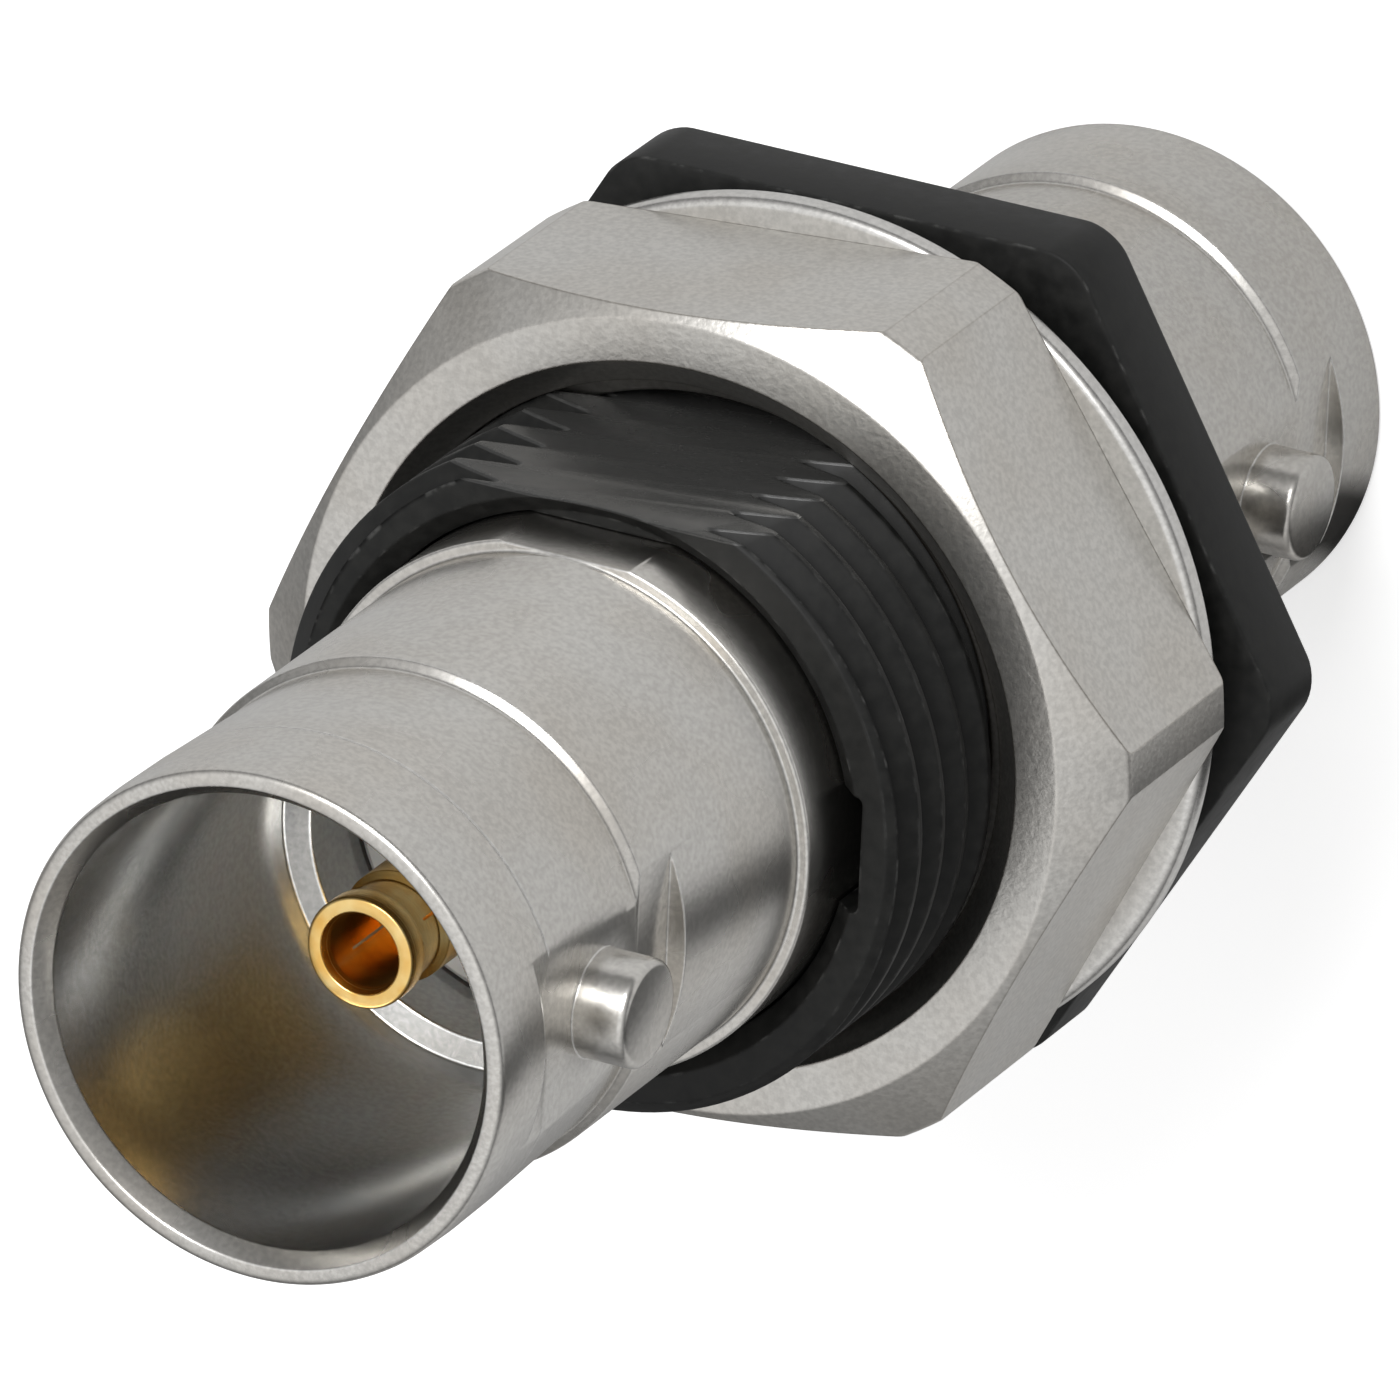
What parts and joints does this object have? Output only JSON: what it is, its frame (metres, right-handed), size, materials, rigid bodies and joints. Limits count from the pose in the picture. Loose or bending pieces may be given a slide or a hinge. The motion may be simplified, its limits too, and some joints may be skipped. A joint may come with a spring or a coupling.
{
  "type": "bulkhead bayonet coaxial coupler",
  "caption": "Insulated bulkhead coaxial coupler: a bayonet socket at each end of a metal body, held in a panel by a hexagonal flange, a washer and a nut.",
  "frame": {"origin": "on the axis, in the plane of the flange face that meets the panel", "axes": "+Z along the axis to the front mouth, +X along the bayonet lugs, +Y square to the flat of the threaded sleeve"},
  "size_m": [0.018, 0.0166, 0.0348],
  "materials": {
    "plated_body": "satin nickel plate",
    "plated_nut": "satin nickel plate",
    "plated_washer": "satin nickel plate",
    "black_housing": "moulded, satin",
    "gold_contact": "gold plate",
    "white_insulator": "plain white fluoroplastic"
  },
  "bodies": {
    "coupler": {"connector_body": "plated_body", "insulating_housing": "black_housing", "centre_contact": "gold_contact", "front_insulator": "white_insulator", "rear_insulator": "white_insulator"},
    "washer": {"washer": "plated_washer"},
    "nut": {"hex_nut": "plated_nut"}
  },
  "joints": [
    {"name": "nut_travel", "type": "slide", "parent": "coupler", "child": "washer", "axis": [0, 0, 1], "range_m": [-0.001, 0.006]},
    {"name": "nut_turn", "type": "hinge", "parent": "washer", "child": "nut", "pos_m": [0, 0, 0], "axis": [0, 0, 1], "range_deg": [-398, 2384]}
  ],
  "couplings": [
    {"joint": "nut_turn", "follows": "nut_travel", "rad_per_m": 6927.4}
  ]
}
